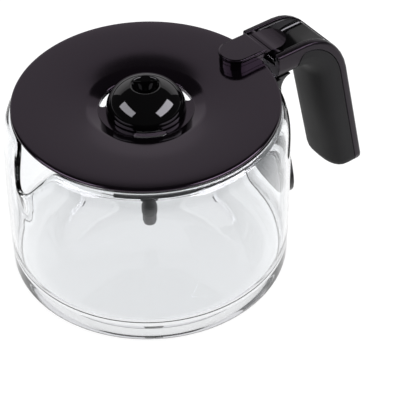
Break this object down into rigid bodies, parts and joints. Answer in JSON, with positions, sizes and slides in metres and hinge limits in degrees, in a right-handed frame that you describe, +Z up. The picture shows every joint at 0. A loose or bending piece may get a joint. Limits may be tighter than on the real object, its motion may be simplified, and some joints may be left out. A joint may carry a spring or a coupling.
{
  "type": "coffee carafe",
  "caption": "Glass coffee carafe with a pouring spout, an open bonded handle and a black hinged drip lid with a central dome and feed tube.",
  "frame": {"origin": "on the jug's axis at the middle of its flat base", "axes": "+X from the jug's axis to the handle, -X to the spout, +Z up, Y across; the object is symmetric in Y"},
  "size_m": [0.2166, 0.1508, 0.1117],
  "materials": {
    "clear_glass": "clear, fire-polished rim",
    "adhesive": "grey mottled bonding pad",
    "satin_black": "fine satin moulding",
    "gloss_black": "polished moulding",
    "lid_plastic": "smooth moulding with a warm violet tint",
    "soft_grip": "soft-touch matte charcoal",
    "tube_plastic": "plain moulding",
    "steel": "plain turned steel"
  },
  "bodies": {
    "jug": {"glass_jug": "clear_glass", "bond_pad": "adhesive", "handle_bracket": "satin_black", "bracket_screw_left": "steel", "bracket_screw_right": "steel", "handle_frame": "satin_black", "channel_liner": "gloss_black", "grip_shell": "soft_grip", "grip_screw": "steel", "hinge_pin": "steel"},
    "lid": {"lid_cover": "lid_plastic", "lid_skirt": "satin_black", "lid_tab": "gloss_black", "thumb_lever": "gloss_black", "lever_screw_left": "steel", "lever_screw_right": "steel", "drip_dome": "gloss_black", "feed_tube": "satin_black", "swirl_nozzle": "tube_plastic"}
  },
  "joints": [
    {"name": "lid_hinge", "type": "hinge", "parent": "jug", "child": "lid", "pos_m": [0.0778, 0, 0.101], "axis": [0, 1, 0], "range_deg": [0, 56]}
  ]
}
